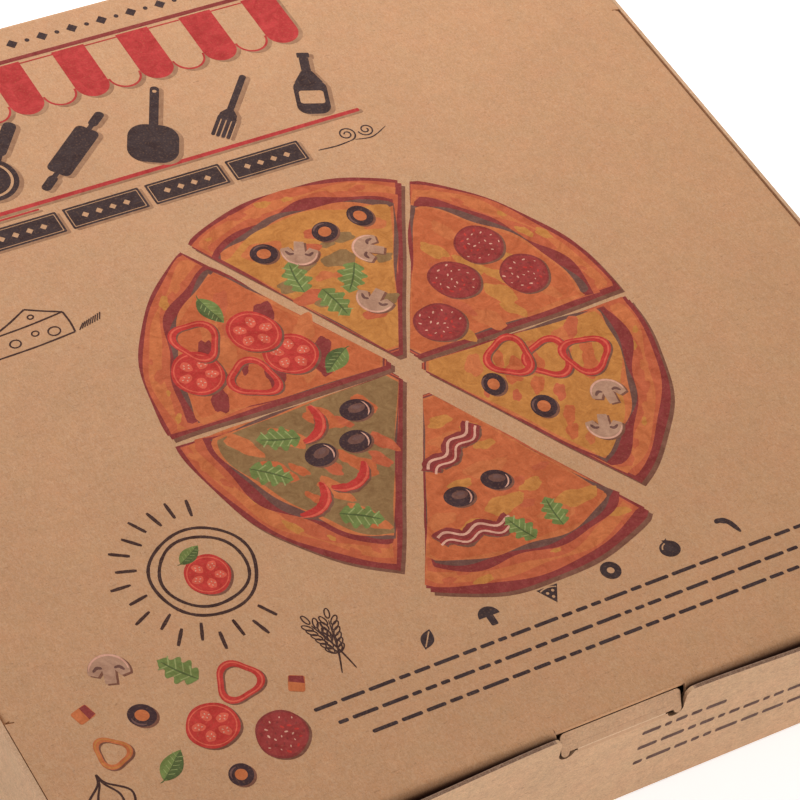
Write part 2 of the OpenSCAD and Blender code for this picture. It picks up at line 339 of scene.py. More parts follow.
def paper_finish(tree, shader, colour, height, bump, roughness, specular):
    """Matt paper: colour, roughness, a weak shine and a fine bump."""
    tree.links.new(colour, shader.inputs["Base Color"])
    shader.inputs["Roughness"].default_value = roughness
    shader.inputs["Specular IOR Level"].default_value = specular
    bumped = add_node(tree, "ShaderNodeBump", {"Height": height, "Strength": bump, "Distance": 0.12 * MM})
    tree.links.new(bumped.outputs[0], shader.inputs["Normal"])


def front_rim(tree, place):
    """Mask of the painted gap shade and of the raw cut faces: 1 at the upper rim of the front, where the
    wall, the lid and the lock tab meet, and 0 elsewhere.
    """
    in_front = remap(tree, place["Y"], FRONT_FACE + 4 * MM, FRONT_FACE + 7 * MM, 1, 0)
    high = remap(tree, place["Z"], TAB_HINGE.z - 5 * MM, TAB_HINGE.z - 4 * MM, 0, 1)
    sideways = calc(tree, "ABSOLUTE", place["X"])
    beside_tab = remap(tree, sideways, CREASE_HALF + 1 * MM, CREASE_HALF + 3 * MM, TAB_SHADE, 1)
    return calc(tree, "MULTIPLY", calc(tree, "MULTIPLY", in_front, high), beside_tab)


def painted_gap_shade(tree, colour, rim):
    """The colour with painted shade: it sinks to deep brown in the narrow gaps at the front rim."""
    board = bpy.context.scene.pizza_board
    sky = add_node(tree, "ShaderNodeAmbientOcclusion", {"Distance": GAP_REACH}, samples=8).outputs["AO"]
    share = calc(tree, "MULTIPLY", remap(tree, sky, *GAP_FADE, 1, 0, smooth=True), rim)
    return mix_colour(tree, share, colour, tuple(board.gap))


def board_material(name, base, texture=1.0, edge_z=None):
    """Kraft board with painted shade in the gaps at the front rim, and darker on the raw cut faces there
    above a height.
    """
    board = bpy.context.scene.pizza_board
    material, tree, shader = new_material(name)
    fibres = liner_nodes(tree)
    colour = kraft_colour(tree, tuple(base), fibres, texture)
    coordinates = tree.nodes.new("ShaderNodeTexCoord").outputs
    place = add_node(tree, "ShaderNodeSeparateXYZ", {0: coordinates["Object"]}).outputs
    rim = front_rim(tree, place)
    if edge_z:
        upward = add_node(tree, "ShaderNodeSeparateXYZ", {0: coordinates["Normal"]}).outputs["Z"]
        flat = calc(tree, "GREATER_THAN", upward, 0.7)
        cut_face = calc(tree, "MULTIPLY", flat, calc(tree, "GREATER_THAN", place["Z"], edge_z))
        raw = kraft_colour(tree, tuple(board.cut_edge), fibres, texture)
        colour = mix_colour(tree, calc(tree, "MULTIPLY", cut_face, rim), colour, raw)
    colour = painted_gap_shade(tree, colour, rim)
    paper_finish(tree, shader, colour, fibres["Height"], bump=0.5, roughness=0.72, specular=0.34)
    return material


def ink_material(ink):
    """Flexographic ink on kraft: the board's fibres show through it."""
    name = "ink_" + ink
    if name in bpy.data.materials:
        return bpy.data.materials[name]
    colour = tuple(getattr(bpy.context.scene.pizza_inks, ink))
    board = tuple(bpy.context.scene.pizza_board.lid)
    material, tree, shader = new_material(name)
    fibres = liner_nodes(tree)
    place = tree.nodes.new("ShaderNodeTexCoord").outputs["Object"]
    wash = noise(tree, place, scale=190, detail=5, roughness=0.65, curl=1.5)
    pores = noise(tree, place, scale=1500)
    lighter = tuple(min(1, value * 1.2 + 0.01) for value in colour)
    darker = tuple(value * factor for value, factor in zip(colour, (0.82, 0.74, 0.74)))
    washed = mix_colour(tree, remap(tree, wash, 0.3, 0.7, 0, 1), darker, lighter)
    bare = remap(tree, pores, 0.5, 0.78, 0.0, 0.16, smooth=True)
    covered = mix_colour(tree, bare, washed, board)
    scale = add_node(tree, "ShaderNodeVectorMath", {0: covered, 3: fibres["Shade"]}, operation="SCALE")
    paper_finish(tree, shader, scale.outputs[0], fibres["Height"], bump=0.4, roughness=0.8, specular=0.1)
    return material


def add_piece(name, points, faces, materials, body, indices=None):
    """A mesh piece in the box's frame that rides on a body."""
    mesh = bpy.data.meshes.new(name)
    mesh.from_pydata([tuple(point) for point in points], [], faces)
    for material in materials:
        mesh.materials.append(material)
    if indices:
        mesh.polygons.foreach_set("material_index", indices)
    mesh.update()
    piece = bpy.data.objects.new(name, mesh)
    bpy.context.scene.collection.objects.link(piece)
    if body:
        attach(piece, body)
    return piece


# Flat drawing, in millimetres

def polar(x, y, radius, count=40, turn=0.0, squash=1.0, shape=None):
    """A closed outline round a middle point, squashed and then turned."""
    points = []
    for step in range(count):
        angle = 2 * math.pi * step / count
        reach = radius * (shape(angle) if shape else 1)
        points.append((reach * math.cos(angle), squash * reach * math.sin(angle)))
    return moved(points, x, y, turn)


def moved(points, x=0.0, y=0.0, turn=0.0, size=1.0):
    """Points made larger or smaller, turned and then shifted."""
    cos, sin = math.cos(turn) * size, math.sin(turn) * size
    return [(x + px * cos - py * sin, y + px * sin + py * cos) for px, py in points]


def waver(rng, strength, waves=(2, 3, 5)):
    """A gently uneven radius for a hand-drawn outline."""
    phases = [(wave, rng.uniform(0, 2 * math.pi)) for wave in waves]
    return lambda angle: 1 + strength * sum(math.sin(wave * angle + phase) for wave, phase in phases)


def smooth_line(points, steps=6):
    """A smooth line through a few points."""
    line = []
    padded = [points[0], *points, points[-1]]
    for before, start, end, after in zip(padded, padded[1:], padded[2:], padded[3:]):
        for step in range(steps):
            t = step / steps
            line.append(tuple(
                0.5 * (2 * s + (e - b) * t + (2 * b - 5 * s + 4 * e - a) * t ** 2
                       + (3 * s - b - 3 * e + a) * t ** 3)
                for b, s, e, a in zip(before, start, end, after)
            ))
    line.append(tuple(points[-1]))
    return line


def rounded_bar(width, height, radius, steps=5):
    """A bar round the origin with rounded corners."""
    points = []
    for quarter, (side_x, side_y) in enumerate(((1, 1), (-1, 1), (-1, -1), (1, -1))):
        for step in range(steps + 1):
            angle = (quarter + step / steps) * math.pi / 2
            points.append((
                side_x * (width / 2 - radius) + radius * math.cos(angle),
                side_y * (height / 2 - radius) + radius * math.sin(angle),
            ))
    return points


def bar(x, y, width, height, radius, steps=5):
    """A rounded bar round a place."""
    return moved(rounded_bar(width, height, radius, steps), x, y)


def arc(x, y, radius, start, end, count=16):
    """Points along part of a circle, with its angles in degrees."""
    angles = [math.radians(start + (end - start) * step / count) for step in range(count + 1)]
    return [(x + radius * math.cos(angle), y + radius * math.sin(angle)) for angle in angles]


class Print:
    """Flat shapes of ink. Later shapes cover earlier ones, and the result is one layer without overlaps."""

    def __init__(self, seed):
        self.rng = random.Random(seed)
        self.points = []
        self.shapes = []
        self.inks = []

    def shape(self, outline, ink):
        """Adds a filled outline. The ink None leaves the board bare."""
        area = sum(ax * by - bx * ay for (ax, ay), (bx, by) in zip(outline, outline[1:] + outline[:1]))
        ordered = outline if area > 0 else outline[::-1]
        start = len(self.points)
        self.points += [Vector(point) for point in ordered]
        self.shapes.append(list(range(start, len(self.points))))
        self.inks.append(ink)

    def band(self, outer, inner, ink, closed=True):
        """Adds the band between two lines with as many points."""
        pairs = list(zip(outer, inner))
        following = pairs[1:] + pairs[:1] if closed else pairs[1:]
        for (a, b), (c, d) in zip(pairs, following):
            self.shape([a, c, d, b], ink)

    def stroke(self, line, width, ink, closed=False, taper=0.0):
        """Adds a pen line whose width wavers a little and may taper to its ends."""
        left, right = [], []
        count = len(line)
        for step, (x, y) in enumerate(line):
            before = line[step - 1] if step or closed else line[0]
            after = line[(step + 1) % count] if step < count - 1 or closed else line[-1]
            dx, dy = after[0] - before[0], after[1] - before[1]
            length = math.hypot(dx, dy) or 1
            along = step / max(1, count - 1)
            pressed = 1 - taper * abs(2 * along - 1) ** 3
            half = width / 2 * pressed * self.rng.uniform(0.88, 1.12)
            left.append((x - dy / length * half, y + dx / length * half))
            right.append((x + dy / length * half, y - dx / length * half))
        self.band(left, right, ink, closed)

    def top_shapes(self, centres):
        """The number of the last shape that covers each point, or -1."""
        owners = np.full(len(centres), -1)
        x, y = centres[:, 0], centres[:, 1]
        for number, shape in enumerate(self.shapes):
            outline = np.array([self.points[index] for index in shape])
            low, high = outline.min(0), outline.max(0)
            near = np.nonzero((x > low[0]) & (x < high[0]) & (y > low[1]) & (y < high[1]))[0]
            px, py = x[near, None], y[near, None]
            ax, ay = outline[:, 0], outline[:, 1]
            bx, by = np.roll(ax, -1), np.roll(ay, -1)
            rise = np.where(by == ay, 1e-12, by - ay)
            crossed = ((ay > py) != (by > py)) & (px < ax + (py - ay) / rise * (bx - ax))
            owners[near[crossed.sum(1) % 2 == 1]] = number
        return owners

    def build(self, name, body, place):
        """Makes the mesh. place carries a flat point to its place on the box."""
        edges = [edge for shape in self.shapes for edge in zip(shape, shape[1:] + shape[:1])]
        points, _, faces, _, _, _ = delaunay_2d_cdt(self.points, edges, [], 0, 1e-4, False)
        corners = np.array([point[:] for point in points])[np.array(faces)]
        owners = self.top_shapes(corners.mean(1))
        inked = [(face, self.inks[owner]) for face, owner in zip(faces, owners) if owner >= 0]
        inked = [(face, ink) for face, ink in inked if ink]
        used = sorted({index for face, _ in inked for index in face})
        renumbered = {index: number for number, index in enumerate(used)}
        palette = sorted({ink for _, ink in inked})
        return add_piece(
            name, [place(*points[index]) for index in used],
            [[renumbered[index] for index in face] for face, _ in inked],
            [ink_material(ink) for ink in palette], body,
            [palette.index(ink) for _, ink in inked],
        )


def on_lid(x, y):
    """A point of the lid's print, from millimetres on the lid."""
    return x * MM, y * MM, LID_TOP + FILM


def on_front_wall():
    """A function that carries millimetres across and up to the bulging front wall."""
    wall = BVHTree.FromObject(frame["nodes"]["tray"], bpy.context.evaluated_depsgraph_get())

    def place(x, z):
        start = Vector((x * MM, TRAY_LOW.y - 10 * MM, z * MM))
        hit = wall.ray_cast(start, Vector((0, 1, 0)))[0]
        return hit.x, hit.y - FILM, hit.z
    return place


# Motifs of the print

def under_shade(sheet, outline):
    """A soft shade at the lower right of a topping."""
    sheet.shape(moved(outline, 0.45, -0.7), "crust_side")


def sausage_slice(sheet, x, y, radius):
    """A round slice of sausage with a dark rim and light and dark flecks."""
    rng = sheet.rng
    turn = rng.uniform(0, 6)
    outline = polar(x, y, radius, 36, turn, 0.93, waver(rng, 0.012))
    under_shade(sheet, outline)
    sheet.shape(outline, "deep_red")
    sheet.shape(polar(x, y, radius * 0.92, 36, turn, 0.93, waver(rng, 0.012)), "sausage")
    flecks = (("fat", 0.04, 0.075), ("deep_red", 0.06, 0.1), ("tomato", 0.06, 0.11))
    count = int(radius * 4)
    for step in range(count):
        reach = radius * 0.82 * math.sqrt((step + 0.5) / count)
        angle = step * 2.4 + turn
        fx, fy = x + reach * math.cos(angle), y + 0.93 * reach * math.sin(angle)
        ink, low, high = flecks[step % 5 // 2]
        sheet.shape(polar(fx, fy, radius * rng.uniform(low, high), 8, rng.uniform(0, 3), 0.5), ink)


def olive_ring(sheet, x, y, radius):
    """A slice of olive with its hole and a lit arc."""
    rng = sheet.rng
    squash = rng.uniform(0.82, 0.95)
    turn = rng.uniform(0, 3)
    under_shade(sheet, polar(x, y, radius, 28, turn, squash))
    sheet.band(polar(x, y, radius, 28, turn, squash), polar(x, y, radius * 0.5, 28, turn, squash), "olive")
    sheet.shape(polar(x, y, radius * 0.5, 28, turn, squash), "crust_light")
    lit = arc(0, 0, radius * 0.76, 35, 130, 10)
    sheet.stroke(moved(lit, x, y, turn), radius * 0.14, "olive_light", taper=0.8)


def whole_olive(sheet, x, y, radius):
    """An olive with a soft shine and a lit edge."""
    turn = sheet.rng.uniform(-0.5, 0.5)
    outline = polar(x, y, radius, 30, turn, 0.8)
    under_shade(sheet, outline)
    sheet.shape(outline, "olive")
    sheet.shape(polar(x + radius * 0.12, y + radius * 0.1, radius * 0.55, 20, turn, 0.6), "mushroom_dark")
    sheet.shape(polar(x + radius * 0.2, y + radius * 0.18, radius * 0.3, 14, turn, 0.5), "olive_light")
    sheet.stroke(moved(arc(0, 0, radius * 0.78, -55, 35, 10), x, y, turn), radius * 0.1, "fat", taper=0.9)


def curly_leaf(sheet, x, y, length, turn=None):
    """A herb leaf with rounded lobes on each side of its rib."""
    rng = sheet.rng
    turn = rng.uniform(0, 2 * math.pi) if turn is None else turn
    half_width = length * 0.36
    lobes = []
    for side in (1, -1):
        edge = []
        for step in range(37):
            t = step / 36
            swell = math.sin(math.pi * min(1, t ** 0.8)) ** 0.75
            notch = 1 - 0.42 * abs(math.cos(4 * math.pi * t)) ** 3 * rng.uniform(0.85, 1.15)
            edge.append((length * (t - 0.5), side * (half_width * max(0, swell) * notch + 0.02)))
        lobes += edge if side == 1 else edge[::-1]
    sheet.shape(moved(lobes, x, y, turn), "leaf")
    for step in range(4):
        start = length * (-0.32 + 0.18 * step)
        for side in (1, -1):
            vein = [(start, 0), (start + length * 0.14, side * half_width * 0.6)]
            sheet.stroke(moved(vein, x, y, turn), length * 0.03, "leaf_light")
    rib = smooth_line([(-length * 0.5, 0), (0, length * 0.03), (length * 0.42, 0)], 4)
    sheet.stroke(moved(rib, x, y, turn), length * 0.045, "leaf_dark", taper=0.7)


def plain_leaf(sheet, x, y, length, turn=None):
    """A smooth pointed leaf with a darker half."""
    turn = sheet.rng.uniform(0, 2 * math.pi) if turn is None else turn

    def edge(side):
        return [
            (length * (t / 16 - 0.5), side * length * 0.27 * math.sin(math.pi * (t / 16) ** 0.85) ** 0.9)
            for t in range(17)
        ]
    upper, lower = edge(1), edge(-1)
    sheet.shape(moved(upper[::-1] + lower[1:-1], x, y, turn), "leaf")
    middle = [(px, length * 0.02 * math.sin(6 * px / length)) for px, _ in lower]
    sheet.band(moved(middle, x, y, turn)[1:-1], moved(lower, x, y, turn)[1:-1], "leaf_dark", closed=False)
    for step in range(5):
        start = length * (-0.3 + 0.14 * step)
        for side in (1, -1):
            vein = [(start, 0), (start + length * 0.1, side * length * 0.15)]
            sheet.stroke(moved(vein, x, y, turn), length * 0.016, "leaf_light")
    rib = smooth_line([(-length * 0.6, length * 0.06), (-length * 0.4, 0.0), (length * 0.45, 0)], 5)
    sheet.stroke(moved(rib, x, y, turn), length * 0.03, "leaf_dark", taper=0.6)


def tomato_slice(sheet, x, y, radius):
    """A slice of tomato with five cells and their seeds."""
    rng = sheet.rng
    turn = rng.uniform(0, 6)
    outline = polar(x, y, radius, 36, turn, 0.94, waver(rng, 0.014))
    under_shade(sheet, outline)
    sheet.shape(outline, "tomato")
    outer, inner = (polar(x, y, radius * share, 36, turn, 0.94) for share in (0.9, 0.85))
    sheet.band(outer, inner, "tomato_light")
    for cell in range(5):
        angle = 2 * math.pi * cell / 5 + turn
        cx, cy = x + radius * 0.5 * math.cos(angle), y + radius * 0.46 * math.sin(angle)
        sheet.shape(polar(cx, cy, radius * 0.25, 16, angle, 0.74, waver(rng, 0.04)), "tomato_light")
        for seed in range(4):
            around = seed * math.pi / 2 + angle
            sx, sy = cx + radius * 0.12 * math.cos(around), cy + radius * 0.09 * math.sin(around)
            sheet.shape(polar(sx, sy, radius * 0.04, 6, around, 0.6), "fat")


def pepper_ring(sheet, x, y, radius, ink="tomato", rim="tomato_light"):
    """A ring cut from a pepper with three lobes, with a lit line round it."""
    turn = sheet.rng.uniform(0, 6)

    def ring(share):
        return polar(x, y, radius * share, 48, turn, 0.9, lambda angle: 1 + 0.13 * math.cos(3 * angle))
    sheet.band(moved(ring(1), 0.4, -0.6), moved(ring(0.72), 0.4, -0.6), "crust_side")
    sheet.band(ring(1), ring(0.7), ink)
    sheet.band(ring(0.93), ring(0.86), rim)


def pepper_strip(sheet, x, y, length):
    """A curved strip of pepper with a lit edge."""
    turn = sheet.rng.uniform(0, 2 * math.pi)
    layers = ((0.5, 0.26, "crust_side"), (0.5, 0.22, "tomato"), (0.56, 0.05, "tomato_light"))
    for radius, width, ink in layers:
        drop = -0.6 if ink == "crust_side" else 0
        curve = moved(arc(0, -0.35 * length, radius * length, 25, 155, 18), x, y + drop, turn)
        sheet.stroke(curve, width * length, ink, taper=0.75)


def bacon_strip(sheet, x, y, length):
    """A wavy strip of bacon with light streaks."""
    turn = sheet.rng.uniform(-0.6, 0.6)

    def streak(offset):
        return moved([
            (length * (t / 28 - 0.5), offset + length * 0.05 * math.sin(4.4 * math.pi * t / 28))
            for t in range(29)
        ], x, y, turn)
    for offset, width, ink in ((-0.6, 0.24, "crust_side"), (0, 0.24, "deep_red"), (0.05, 0.035, "fat"),
                               (-0.035, 0.03, "sausage"), (-0.07, 0.03, "fat")):
        shift = offset if ink == "crust_side" else offset * length
        sheet.stroke(streak(shift), width * length, ink)


def mushroom_slice(sheet, x, y, size, turn=None):
    """A slice of mushroom: cap, stem, a lit edge and two gills."""
    turn = sheet.rng.uniform(0, 2 * math.pi) if turn is None else turn
    cap = arc(0, 0, size, -8, 188, 22)
    stem = [(-size * 0.3, 0.05 * size), (-size * 0.26, -size * 0.72), (size * 0.26, -size * 0.72),
            (size * 0.3, 0.05 * size)]
    body = moved(cap + [(-size * 0.55, -size * 0.3)] + stem + [(size * 0.55, -size * 0.3)], x, y, turn, 0.9)
    under_shade(sheet, body)
    sheet.shape(body, "mushroom")
    sheet.stroke(moved(arc(0, 0, size * 0.93, 5, 175, 18), x, y, turn, 0.9), size * 0.1, "fat", taper=0.6)
    for side in (1, -1):
        gill = smooth_line([
            (side * size * 0.28, size * 0.16), (side * size * 0.52, size * 0.22), (side * size * 0.74, 0),
        ], 5)
        sheet.stroke(moved(gill, x, y, turn, 0.9), size * 0.16, "mushroom_dark", taper=0.7)


def slice_outline(middle, bisector, half_angle, inner, outer, rough, rng):
    """A wedge with a blunt tip, uneven edges and an uneven rim."""
    sway = [rng.uniform(0, 6) for _ in range(4)]
    points = []
    for side in (-1, 1):
        edge = []
        for step in range(15):
            t = step / 14
            reach = inner + (outer - inner) * t
            drift = rough * (math.sin(5 * t + sway[0]) + 0.6 * math.sin(11 * t + sway[1])) * t
            edge.append((reach, side * half_angle + drift / max(reach, 1)))
        if side == 1:
            rim = []
            for step in range(1, 36):
                t = step / 36
                swell = rough * (math.sin(9 * t + sway[2]) + 0.7 * math.sin(17 * t + sway[3]))
                bulge = 1 - (2 * t - 1) ** 16
                rim.append((outer + swell + rough * bulge, half_angle * (2 * t - 1)))
            points += rim + edge[::-1]
        else:
            points += edge
    return [
        (middle[0] + reach * math.cos(bisector + angle), middle[1] + reach * math.sin(bisector + angle))
        for reach, angle in points
    ]


def spots(rng, count, bisector, half_angle, inner, outer, gap):
    """Places inside a slice that keep a distance from each other, as reach and angle."""
    found = []
    for _ in range(900):
        reach = math.sqrt(rng.uniform(inner ** 2, outer ** 2))
        room = half_angle - gap * 0.52 / reach
        if room <= 0:
            continue
        angle = bisector + rng.uniform(-room, room)
        point = (reach * math.cos(angle), reach * math.sin(angle))
        if all(math.dist(point, other) > gap for other in found):
            found.append(point)
        if len(found) == count:
            break
    return found


RECIPES = (
    ("cheese", "cheese_gold", 15.4, [(sausage_slice, 8.2)] * 6 + [(curly_leaf, 11)] * 3),
    ("cheese_gold", "cheese_olive", 10.4, [(mushroom_slice, 6.4), (olive_ring, 4.4), (curly_leaf, 13)] * 5),
    ("cheese", "deep_red", 12.8, [(tomato_slice, 8.4)] * 3 + [(plain_leaf, 12), (pepper_ring, 8)] * 3),
    ("cheese_olive", "cheese", 11.2, [(whole_olive, 5.0), (pepper_strip, 15), (curly_leaf, 13)] * 4),
    ("cheese", "cheese_gold", 12.2, [(bacon_strip, 23), (whole_olive, 4.6), (curly_leaf, 11)] * 4),
    ("cheese_gold", "cheese", 11.4, [(pepper_ring, 8.2), (mushroom_slice, 6.2), (olive_ring, 4.4)] * 4),
)


def draw_slice(sheet, middle, bisector, half_angle, radius, recipe):
    """One slice: its shaded side, baked rim, sauce, cheese and topping."""
    base, patch, gap, toppings = recipe
    rng = sheet.rng
    tip = radius * 0.03

    def layer(share, narrow, rough):
        inner = tip / narrow ** 14
        return slice_outline(middle, bisector, half_angle * narrow, inner, radius * share, rough, rng)

    def patches(count, inner, outer, sizes, inks):
        places = spots(rng, count, bisector, half_angle * 0.95, inner, outer, 5.5)
        turn = bisector + math.pi / 2
        for number, (px, py) in enumerate(places):
            size = rng.uniform(*sizes)
            outline = polar(middle[0] + px, middle[1] + py, size, 20, turn, 0.5, waver(rng, 0.1))
            sheet.shape(outline, inks[number % len(inks)])
    body = layer(1, 1, 0.35)
    sheet.shape(moved(body, 0.9, -3.2), "crust_side")
    sheet.shape(moved(body, 0.45, -1.7), "deep_red")
    sheet.shape(body, "deep_red")
    sheet.shape(layer(0.985, 0.99, 0.4), "crust")
    sheet.shape(layer(0.955, 0.975, 0.8), "crust_light")
    sheet.shape(layer(0.915, 0.975, 0.9), "crust")
    patches(9, radius * 0.91, radius * 0.965, (1.2, 3.2), ("crust_light", "cheese_gold", "crust"))
    sheet.shape(layer(0.885, 0.98, 1.2), "deep_red")
    sheet.shape(layer(0.862, 0.97, 0.9), "mushroom_dark")
    sheet.shape(layer(0.848, 0.965, 0.8), "crust_light")
    sheet.shape(layer(0.835, 0.95, 0.8), base)
    patches(16, radius * 0.14, radius * 0.78, (2.4, 6.5), (patch, "crust_light", "crust", patch))
    places = spots(rng, len(toppings), bisector, half_angle * 0.9, radius * 0.22, radius * 0.79, gap)
    for (px, py), (draw, size) in zip(places, toppings):
        draw(sheet, middle[0] + px, middle[1] + py, size)


def draw_pizza(sheet, x, y, radius, slices):
    """A round pizza cut in equal slices, with one slice drawn away from the rest."""
    half_angle = math.pi / slices
    for number in range(slices):
        bisector = (2 * number + 1) * half_angle
        away = 3.2 + (7.5 if number == slices - 2 else 0)
        middle = (x + away * math.cos(bisector), y + away * math.sin(bisector))
        recipe = RECIPES[number % len(RECIPES)]
        draw_slice(sheet, middle, bisector, half_angle * 0.985, radius - 3.2, recipe)


def draw_awning(sheet, left, right, top, height, stripes):
    """A striped awning with a scalloped hem and a soft shade under it."""
    pitch = (right - left) / stripes
    scallop = pitch / 2

    def stripe(number, shift_x=0.0, shift_y=0.0):
        x0 = left + number * pitch + shift_x
        hem = arc(x0 + scallop, top - height + scallop + shift_y, scallop, 180, 360, 14)
        return [(x0, top + shift_y), *hem, (x0 + pitch, top + shift_y)]
    for number in range(stripes):
        sheet.shape(stripe(number, 1.0, -1.1), "shade")
    for number in range(stripes):
        sheet.shape(stripe(number), None if number % 2 else "red")
    for number in range(1, stripes, 2):
        x0 = left + number * pitch
        hem = arc(x0 + scallop, top - height + scallop, scallop - 0.35, 180, 360, 14)
        sheet.stroke(hem, 0.7, "red")
    for offset, width in ((1.4, 1.6), (-0.9, 0.5)):
        rail = bar((left + right) / 2, top + offset, right - left + 5, width, width / 2.1)
        sheet.shape(rail, "red" if width < 1 else "deep_red")


def pizza_wheel():
    """Outlines of a pizza wheel: the blade, its hub and its handle."""
    handle = bar(12.5, 0, 12, 3.4, 1.6)
    neck = [(3.2, -1.3), (7.5, -1.0), (7.5, 1.0), (3.2, 1.3)]
    return [(polar(-2, 0, 7.2, 44), True), (polar(-2, 0, 5.9, 40), False), (polar(-2, 0, 5.2, 40), True),
            (neck, True), (handle, True), (polar(-2, 0, 1.3, 16), False)]


def rolling_pin():
    """Outlines of a rolling pin: two grips, two necks and the roll."""
    grips = [(bar(side * 12.6, 0, 5.5, 2.4, 1.1), True) for side in (1, -1)]
    necks = [(bar(side * 9.4, 0, 3, 1.3, 0.3), True) for side in (1, -1)]
    return [*grips, *necks, (rounded_bar(17.5, 6.2, 1.5), True)]


def pizza_peel():
    """Outlines of a pizza peel: the blade, its handle and the hole to hang it by."""
    return [(bar(-5.5, 0, 13, 12.5, 4.5, 8), True), (bar(7, 0, 15, 2.3, 1.1), True),
            (polar(12.8, 0, 0.55, 12), False)]


def dinner_fork():
    """Outlines of a fork: four tines, the crown and the handle."""
    tines = [(bar(-8.2, y, 7.4, 0.95, 0.45), True) for y in (-1.9, -0.65, 0.65, 1.9)]
    crown = [(-5.6, -2.35), (-3.4, -2.1), (-1.6, -0.8), (-1.6, 0.8), (-3.4, 2.1), (-5.6, 2.35)]
    return [*tines, (crown, True), (bar(4.6, 0, 13.5, 1.7, 0.8), True)]


def oil_bottle():
    """Outlines of an oil bottle with a bare label."""
    belly = bar(-5, 0, 12, 8.4, 2.8, 7)
    shoulder = [(0.2, -3.6), (4.2, -1.4), (4.2, 1.4), (0.2, 3.6)]
    band = bar(-5, 0, 4.6, 6.2, 0.8)
    return [(belly, True), (shoulder, True), (bar(6.2, 0, 6, 2.4, 0.5), True),
            (bar(10, 0, 1.8, 3.2, 0.4), True), (band, False)]


def draw_tools(sheet, left, pitch, y, size):
    """A row of dark kitchen tools, each with a soft shade beside it."""
    tools = (pizza_wheel(), rolling_pin(), pizza_peel(), dinner_fork(), oil_bottle())
    turns = (50, 38, 62, 48, 70)
    for number, (tool, turn) in enumerate(zip(tools, turns)):
        place = (left + number * pitch, y, math.radians(turn))
        for outline, filled in tool:
            if filled:
                sheet.shape(moved(moved(outline, *place, size), 1.0, -1.2), "shade")
        for outline, filled in tool:
            sheet.shape(moved(outline, *place, size), "dark" if filled else None)


def draw_bars(sheet, left, pitch, count, y, width, height):
    """Dark bars with a fine bare border and a row of bare diamonds."""
    for number in range(count):
        x = left + width / 2 + number * pitch
        sheet.shape(bar(x + 0.9, y - 0.9, width, height, 0.5), "shade")
        sheet.shape(bar(x, y, width, height, 0.5), "dark")
        sheet.shape(bar(x, y, width - 1.4, height - 1.4, 0.3), None)
        sheet.shape(bar(x, y, width - 2.0, height - 2.0, 0.3), "dark")
        for step in range(4):
            sheet.shape(polar(x + (step - 1.5) * 4.6, y, 1.25, 4), None)


def draw_scroll(sheet, x, y, size):
    """A fine scroll of two spirals at the end of a line."""
    def spiral(cx, cy, radius, start, turns):
        count = int(turns * 26)
        line = []
        for step in range(count + 1):
            reach = radius * (1 - 0.8 * step / count)
            angle = start + 2 * math.pi * turns * step / count
            line.append((cx + reach * math.cos(angle), cy + reach * math.sin(angle)))
        return line
    low = y - 0.26 * size
    line = smooth_line([(x, low), (x + 0.7 * size, low - 0.05 * size), (x + 1.3 * size, low)], 8)
    sheet.stroke(line, 0.5, "dark", taper=0.5)
    sheet.stroke(spiral(x + 1.3 * size, low + 0.34 * size, 0.34 * size, -math.pi / 2, 1.7), 0.5, "dark")
    sheet.stroke(spiral(x + 2.05 * size, low + 0.3 * size, 0.3 * size, math.pi, 1.6), 0.5, "dark")
    tail = smooth_line([
        (x + 1.45 * size, low), (x + 2.1 * size, low - 0.1 * size), (x + 2.8 * size, low + 0.2 * size),
    ], 8)
    sheet.stroke(tail, 0.45, "dark", taper=0.8)


def draw_rows(sheet, rows, height, ink):
    """Rows of short plain bars of uneven length, each row from its left to its right end at a height."""
    for left, right, y in rows:
        x = left
        while x < right - 3:
            width = min(sheet.rng.uniform(2.2, 8.5), right - x)
            sheet.shape(bar(x + width / 2, y, width, height, height * 0.4, 3), ink)
            x += width + 1.3


def draw_pictures(sheet, left, pitch, y):
    """A row of small dark pictures: leaf, mushroom, slice, olive, tomato and pepper."""
    def at(number):
        return left + number * pitch

    def pointed(angle):
        return 1 if int(angle * 5 / math.pi) % 2 else 0.5
    upper = [(3.6 * (t / 10 - 1), 1.9 * math.sin(math.pi * t / 20)) for t in range(21)]
    lower = [(3.6 * (1 - t / 10), -1.9 * math.sin(math.pi * t / 20)) for t in range(1, 20)]
    sheet.shape(moved(upper + lower, at(0), y, 0.9), "dark")
    sheet.stroke(moved([(-2.8, 0), (2.8, 0)], at(0), y, 0.9), 0.4, None)
    sheet.shape(arc(at(1), y, 3.3, 0, 180, 18), "dark")
    sheet.shape(bar(at(1), y - 1.5, 2.2, 3.6, 0.5), "dark")
    wedge = [(at(2) - 3.4, y + 2.2), (at(2), y - 3.6), (at(2) + 3.4, y + 2.2)]
    sheet.shape(wedge, "dark")
    sheet.stroke(arc(at(2), y - 3.6, 5.6, 62, 118, 10), 0.45, None)
    for dx, dy in ((-0.9, 0.2), (1.0, 0.6), (0.1, -1.4)):
        sheet.shape(polar(at(2) + dx, y + dy, 0.5, 10), None)
    sheet.band(polar(at(3), y, 3.1, 26), polar(at(3), y, 1.1, 26), "dark")
    sheet.shape(polar(at(4), y - 0.2, 3.2, 28, 0, 0.9), "dark")
    sheet.stroke(arc(at(4), y - 0.2, 2.2, 100, 170, 8), 0.45, None)
    sheet.shape(polar(at(4), y + 2.6, 1.5, 10, 0.3, 0.6, pointed), "dark")
    pepper = smooth_line([(-2.6, 2.4), (-1.2, 2.8), (1.2, 1.2), (2.6, -3.2)], 6)
    sheet.stroke(moved(pepper, at(5), y), 1.9, "dark", taper=0.75)


